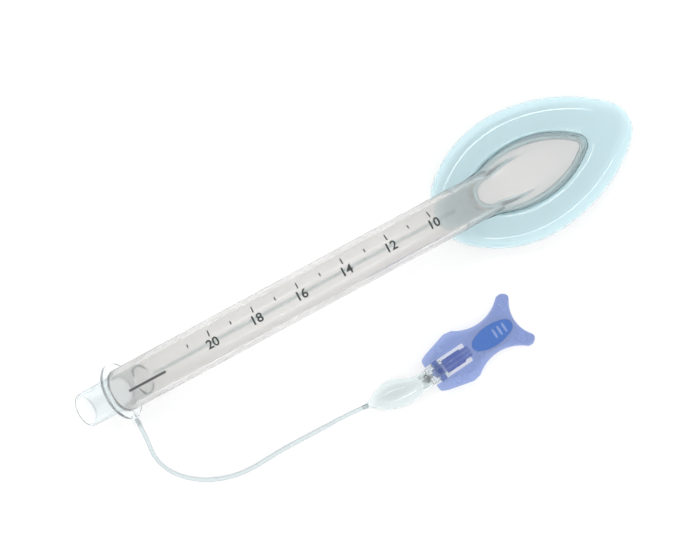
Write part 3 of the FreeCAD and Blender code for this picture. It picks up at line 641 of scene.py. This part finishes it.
# The pilot balloon: a thin bag between the line and the valve, drawn over the valve's insert.
NECK = Vector((-25.5, -54.75, 6.45))
NECK_WAY = Vector((math.cos(math.radians(-4.8)), math.sin(math.radians(-4.8)), 0))
LAP = VALVE - 9.1 * VALVE_WAY
STRAIGHT = 13.0
BALLOON = ((0, 1.15), (2.6, 1.5), (4.4, 2.3), (7.2, 4.3), (10.5, 5.75), (14.5, 6.4), (18.5, 6.1),
           (21.5, 5.35), (24, 4.6), (26, 4.0), (28, 3.7), (30.9, 3.6))
BALLOON_LONG = BALLOON[-1][0]
NECK_RUN, NECK_WALL, BAG_WALL, NECK_EXTRA, EXTRA_RUN = 2.6, 0.07, 0.35, 0.15, 1.5
PUCKERS, PUCKER_HIGH, PUCKER_COUNT, PUCKER_START = ((5.5, 2.2), (23.5, 2.4)), 0.05, 9, 0.7
BALLOON_AROUND, BALLOON_STEPS = 72, 120


def eased(t, run, start, start_way, end, end_way):
    # A smooth step from start to end over a run, with its slope given at both.
    return ((2 * t ** 3 - 3 * t ** 2 + 1) * start + (t ** 3 - 2 * t ** 2 + t) * run * start_way
            + (3 * t ** 2 - 2 * t ** 3) * end + (t ** 3 - t ** 2) * run * end_way)


def eased_way(t, run, start, start_way, end, end_way):
    # The direction in which eased runs.
    return ((6 * t ** 2 - 6 * t) * start + (3 * t ** 2 - 4 * t + 1) * run * start_way
            + (6 * t - 6 * t ** 2) * end + (3 * t ** 2 - 2 * t) * run * end_way).normalized()


def through(table, at):
    # A smooth value at a distance, through a table of (distance, value).
    for i in range(len(table) - 1):
        if at <= table[i + 1][0]:
            break
    (x1, y1), (x2, y2) = table[i], table[i + 1]
    before = table[max(i - 1, 0)]
    after = table[min(i + 2, len(table) - 1)]
    slope1 = (y2 - before[1]) / (x2 - before[0])
    slope2 = (after[1] - y1) / (after[0] - x1)
    return eased((at - x1) / (x2 - x1), x2 - x1, y1, slope1, y2, slope2)


def balloon_spine(at, length):
    # The spot and way on the bag's axis: the neck's, then a bend to the valve's.
    if at < STRAIGHT:
        return NECK + NECK_WAY * at, NECK_WAY
    if at > length:
        return LAP + VALVE_WAY * (at - length), VALVE_WAY
    run = length - STRAIGHT
    bend = ((at - STRAIGHT) / run, run, NECK + NECK_WAY * STRAIGHT, NECK_WAY, LAP, VALVE_WAY)
    return eased(*bend), eased_way(*bend)


def balloon_wall(at):
    # The film's thickness: thin where the neck holds the line, and thickest just past it.
    if at < NECK_RUN:
        return NECK_WALL + BAG_WALL * at / NECK_RUN
    return BAG_WALL + NECK_EXTRA * math.exp(-(at - NECK_RUN) / EXTRA_RUN)


def balloon_film():
    length = (LAP - NECK).length
    skins = []
    bm = bmesh.new()
    for film in (0.0, 1.0):
        rings = []
        for i in range(BALLOON_STEPS + 1):
            at = BALLOON_LONG * i / BALLOON_STEPS
            spot, way = balloon_spine(at, length)
            side = Vector((0, 0, 1)).cross(way).normalized()
            up = way.cross(side)
            pucker = sum(PUCKER_HIGH * math.exp(-((at - middle) / width) ** 2) for middle, width in PUCKERS)
            ring = []
            for j in range(BALLOON_AROUND):
                turn = 2 * math.pi * j / BALLOON_AROUND
                radius = through(BALLOON, at) - film * balloon_wall(at)
                radius += pucker * math.cos(PUCKER_COUNT * turn + PUCKER_START)
                ring.append(spot + (side * math.sin(turn) + up * math.cos(turn)) * radius)
            rings.append(ring)
        skins.append(grid(bm, rings))
    joined_ends(bm, *skins)
    return bm


balloon = piece_from("balloon_film", balloon_film(), "airway", pale_film,
                     ["pilot_balloon"])


# The valve's return spring, a coil between the insert's lip and the plunger's head.
SPRING_R, SPRING_WIRE, SPRING_TURNS = 1.3, 0.15, 5.5
SPRING_BACK, SPRING_RUN, SPRING_FLAT = -5.14, 0.98, 0.12
SPRING_STEPS, WIRE_AROUND = 220, 12


def spring_coil():
    # The flat share at each end of the wire is the coil's closed end.
    rings = []
    for i in range(SPRING_STEPS + 1):
        part = i / SPRING_STEPS
        turn = 2 * math.pi * SPRING_TURNS * part
        rise = min(max((part - SPRING_FLAT) / (1 - 2 * SPRING_FLAT), 0.0), 1.0)
        out = VALVE_SIDE * math.cos(turn) + VALVE_UP * math.sin(turn)
        middle = VALVE + VALVE_WAY * (SPRING_BACK + SPRING_RUN * rise) + out * SPRING_R
        rings.append([middle + (out * math.cos(bend) + VALVE_WAY * math.sin(bend)) * SPRING_WIRE
                      for bend in (2 * math.pi * k / WIRE_AROUND for k in range(WIRE_AROUND))])
    bm = bmesh.new()
    capped(bm, rings)
    return bm


spring = smooth_object("spring_coil", spring_coil(), spring_steel)
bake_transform(spring)
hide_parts("valve_spring")


# The marks printed on the tube: a thick line near the connector, and a plain scale.
MARK_THICK, MARK_OFF = 0.02, 0.02
END_LINE_X, END_LINE_Y = (-103.5, -86.6), (-2.1, -1.05)
TIP_RUN, SCALE, TICK_HALF, TICK_LOW = 73.5, range(10, 22), 0.25, 2.6
TICK_LONG, TICK_SHORT = 5.4, 4.2
NUMBER_Y, NUMBER_HIGH, NUMBER_WEIGHT = -0.6, 5.4, 0.1


def wrapped(bm, name, mat):
    # Lays flat marks, drawn in millimetres along and across the tube, on the tube's top.
    bmesh.ops.remove_doubles(bm, verts=bm.verts, dist=0.001)
    for way, step in ((Vector((1, 0, 0)), 1.0), (Vector((0, 1, 0)), 0.35)):
        runs = [v.co.dot(way) for v in bm.verts]
        at, high = min(runs) + step / 2, max(runs)
        while at < high:
            bmesh.ops.bisect_plane(bm, geom=bm.verts[:] + bm.edges[:] + bm.faces[:],
                                   plane_co=way * at, plane_no=way)
            at += step
    grown = bmesh.ops.extrude_face_region(bm, geom=bm.faces[:])["geom"]
    for v in (item for item in grown if isinstance(item, bmesh.types.BMVert)):
        v.co.z += MARK_THICK
    bmesh.ops.recalc_face_normals(bm, faces=bm.faces)
    for v in bm.verts:
        high = TUBE_R + MARK_OFF + v.co.z
        v.co = metres(arch_spot(v.co.x / BEND, high, v.co.y / TUBE_R))
    piece = mesh_object(name, bm, mat)
    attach(piece, "airway")


def bar(bm, x1, x2, y1, y2):
    corners = [bm.verts.new((x, y, 0)) for x, y in ((x1, y1), (x2, y1), (x2, y2), (x1, y2))]
    bm.faces.new(corners)


def numbered(bm, number, x, y):
    data = bpy.data.curves.new("words", "FONT")
    data.body = str(number)
    data.size = NUMBER_HIGH
    data.offset = NUMBER_WEIGHT
    data.align_x = "CENTER"
    data.align_y = "CENTER"
    holder = linked("words", data)
    shape = bpy.data.meshes.new_from_object(holder.evaluated_get(bpy.context.evaluated_depsgraph_get()))
    shape.transform(Matrix.Translation((x, y, 0)))
    bm.from_mesh(shape)
    bpy.data.objects.remove(holder)


def along_arch(x):
    return BEND * math.asin((x - ARCH_X) / BEND)


def end_line():
    bm = bmesh.new()
    bar(bm, *(along_arch(x) for x in END_LINE_X), *END_LINE_Y)
    return bm


def depth_scale():
    # A tick at each centimetre from the mask's tip, and a number at the even ones.
    bm = bmesh.new()
    for cm in SCALE:
        at = BEND * FALL - (cm * 10 - TIP_RUN)
        bar(bm, at - TICK_HALF, at + TICK_HALF, TICK_LOW, TICK_LONG if cm % 2 == 0 else TICK_SHORT)
        if cm % 2 == 0:
            numbered(bm, cm, at, NUMBER_Y)
    return bm


wrapped(end_line(), "end_line", black_ink)
wrapped(depth_scale(), "depth_scale", ink)


# What stands on the tag's grip: a darker oval, three ribs and the rings round its pins.
INLAY_X, INLAY = 29.7, (9.8, 10.6, 4.9, 3.4, 3.4)
INLAY_LAYERS = ((0.32, 1.405), (0.35, 1.43), (0.45, 1.44), (1.6, 1.44), (3.2, 1.44))
RIB_X, RIB = (31.4, 33.8, 36.2), (2.3, 2.3, 0.6, 0.45, 0.45)
RIB_LAYERS = ((0.0, 1.45), (0.0, 1.58), (0.12, 1.64), (0.3, 1.66))
PIN_X, PIN_Y, PIN_AROUND = (7.7, 40.4), (7.7, -7.7), 40
PIN_RING = ((1.3, 1.01), (1.34, 1.05), (1.66, 1.05), (1.7, 1.01))


def on_valve(x, y, z):
    return VALVE + VALVE_WAY * x + VALVE_SIDE * y + VALVE_UP * z


def raised(bm, outline, layers):
    # A low pad on the tag: its outline, drawn in the valve's frame, at each inset and height.
    rows = grid(bm, [[on_valve(x, y, height) for x, y in outline(inset)] for inset, height in layers])
    bm.faces.new(rows[-1])
    bm.faces.new(rows[0])


def tag_inlay():
    bm = bmesh.new()
    raised(bm, lambda inset: egg_at(INLAY_X, INLAY, inset, 96), INLAY_LAYERS)
    return bm


def tag_marks():
    bm = bmesh.new()
    for middle in RIB_X:
        raised(bm, lambda inset: [(middle + y, x) for x, y in egg(*RIB, inset, 32)], RIB_LAYERS)
    for x in PIN_X:
        for y in PIN_Y:
            rings = []
            for radius, height in PIN_RING:
                rings.append([on_valve(x + radius * math.cos(turn), y + radius * math.sin(turn), height)
                              for turn in (2 * math.pi * i / PIN_AROUND for i in range(PIN_AROUND))])
            grid(bm, rings + rings[:1])
    bmesh.ops.remove_doubles(bm, verts=bm.verts, dist=1e-7)
    return bm


piece_from("tag_inlay", tag_inlay(), "tag", pad_blue)
piece_from("tag_marks", tag_marks(), "tag", rib_blue)


# The materials of the line and of the pieces that stay as the solids are.
SOLID_LOOKS = (("connector", clear_hard), ("valve_socket", clear_hard), ("valve_insert", clear_hard),
               ("valve_plunger", grey_plastic), ("valve_seal", black_rubber), ("vent_tag", blue_plastic))
for node, mat in SOLID_LOOKS:
    piece = NODES[node]
    piece.data.materials.clear()
    piece.data.materials.append(mat)
    for face in piece.data.polygons:
        face.use_smooth = True
line.data.materials.append(pale_tube)


# Stage: a pale floor, a plain world and soft lamps. The floor and the world glow for the rays
# that a mirror or a clear part sends on, so that glass shows the same white as the camera.
FLOOR_HALF = 3.0
FLOOR_SHADES = ((0.57, 0.57, 0.57), (0.55, 0.55, 0.55))
FLOOR_GLOW, GLASS_GLOW = 0.48, 0.56
WORLD_LEVEL, WORLD_LOW, WORLD_HIGH, WORLD_TOP = 0.82, 0.85, 1.0, 0.9


def thrown_on(tree):
    # The light path, and 1 for the rays that come by way of a mirror or a clear part.
    path = tree.nodes.new("ShaderNodeLightPath")
    seen = tree.nodes.new("ShaderNodeMath")
    seen.operation = "MAXIMUM"
    tree.links.new(path.outputs["Is Glossy Ray"], seen.inputs[0])
    tree.links.new(path.outputs["Is Transmission Ray"], seen.inputs[1])
    return path, seen.outputs["Value"]


def floor_paper():
    mat, tree, shader = material("floor_paper")
    tinted(tree, noise(tree, 40), shader, *FLOOR_SHADES)
    shader.inputs["Roughness"].default_value = 0.9
    shader.inputs["Specular IOR Level"].default_value = 0.0
    path, seen = thrown_on(tree)
    direct = tree.nodes.new("ShaderNodeMath")
    direct.operation = "MULTIPLY"
    direct.inputs[1].default_value = FLOOR_GLOW
    tree.links.new(path.outputs["Is Camera Ray"], direct.inputs[0])
    glow = tree.nodes.new("ShaderNodeMath")
    glow.operation = "MULTIPLY_ADD"
    glow.inputs[1].default_value = GLASS_GLOW
    tree.links.new(seen, glow.inputs[0])
    tree.links.new(direct.outputs["Value"], glow.inputs[2])
    shader.inputs["Emission Color"].default_value = (1, 1, 1, 1)
    tree.links.new(glow.outputs["Value"], shader.inputs["Emission Strength"])
    return mat


def stage_floor():
    data = bpy.data.meshes.new("floor")
    corners = [(-FLOOR_HALF, -FLOOR_HALF, 0), (FLOOR_HALF, -FLOOR_HALF, 0),
               (FLOOR_HALF, FLOOR_HALF, 0), (-FLOOR_HALF, FLOOR_HALF, 0)]
    data.from_pydata(corners, [], [(0, 1, 2, 3)])
    floor = linked("floor", data)
    data.materials.append(floor_paper())


def plain_world():
    world = bpy.data.worlds.new("world")
    scene.world = world
    world.use_nodes = True
    tree = world.node_tree
    sky = tree.nodes["Background"]
    sky.inputs["Color"].default_value = (1, 1, 1, 1)
    _, seen = thrown_on(tree)
    where = tree.nodes.new("ShaderNodeTexCoord")
    part = tree.nodes.new("ShaderNodeSeparateXYZ")
    tree.links.new(where.outputs["Generated"], part.inputs["Vector"])
    level = tree.nodes.new("ShaderNodeMix")
    level.inputs["A"].default_value = WORLD_LEVEL
    tree.links.new(seen, level.inputs["Factor"])
    tree.links.new(ramp(tree, part.outputs["Z"], WORLD_LOW, WORLD_HIGH, 0.0, WORLD_TOP), level.inputs["B"])
    tree.links.new(level.outputs["Result"], sky.inputs["Strength"])


def lamp(name, spot, size_x, size_y, watts):
    # A soft lamp that looks at the middle of the table.
    data = bpy.data.lights.new(name, "AREA")
    data.shape = "RECTANGLE"
    data.size = size_x
    data.size_y = size_y
    data.energy = watts
    piece = linked(name, data)
    aim = Vector((0, 0, 0)) - Vector(spot)
    piece.rotation_euler = aim.to_track_quat("-Z", "Y").to_euler()
    piece.location = spot


stage_floor()
plain_world()
lamp("key", (0.0, 0.75, 1.3), 1.6, 0.13, 9)
lamp("strip", (0.1, -1.0, 1.0), 1.6, 0.11, 7)

scene.view_settings.view_transform = "Standard"
scene.cycles.sample_clamp_indirect = 2.0
scene.cycles.max_bounces = 32
scene.cycles.transmission_bounces = 28
scene.cycles.transparent_max_bounces = 32

bpy.context.view_layer.update()
